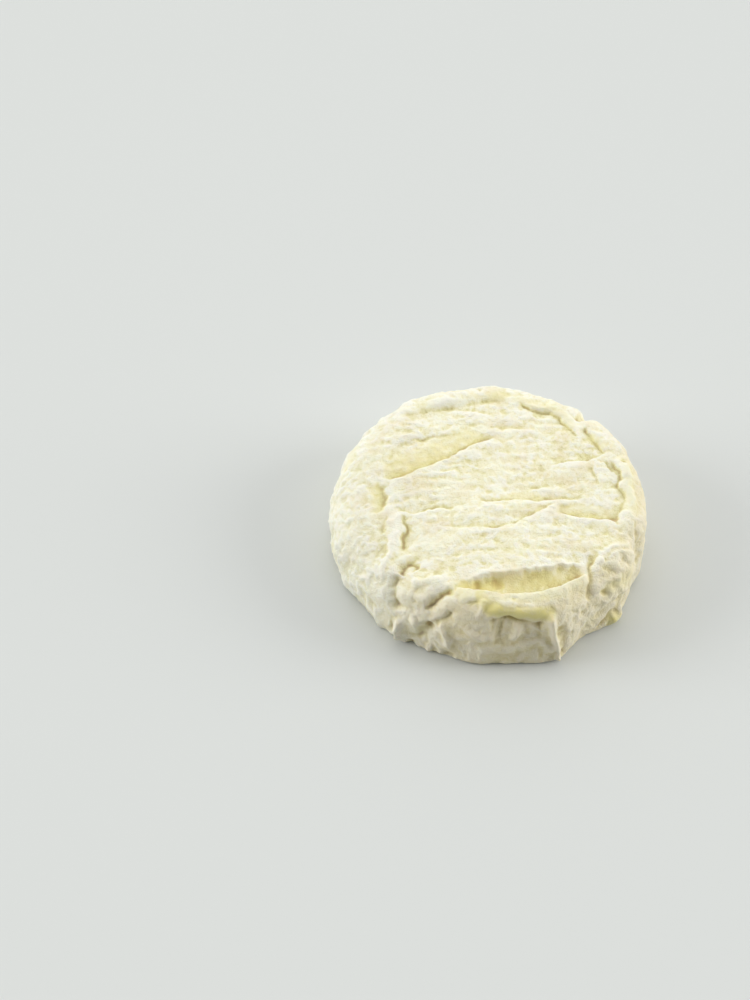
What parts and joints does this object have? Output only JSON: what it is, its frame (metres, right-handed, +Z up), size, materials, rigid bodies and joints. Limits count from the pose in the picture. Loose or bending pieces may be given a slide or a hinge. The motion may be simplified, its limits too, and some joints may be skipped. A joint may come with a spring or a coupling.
{
  "type": "goat cheese",
  "caption": "Low round ripened goat cheese with a soft, wrinkled rind that folds over at its front rim and rests on a flat underside.",
  "frame": {"origin": "on the flat underside, at the middle of the wheel", "axes": "+Z up through the wheel's thickness, -Y towards the side with the open fold, +X to the right seen from that side"},
  "size_m": [0.0679, 0.0664, 0.0198],
  "materials": {
    "rind": "matte, velvety ivory bloom, yellower in the creases"
  },
  "bodies": {
    "root": {"cheese": "rind"}
  },
  "joints": []
}
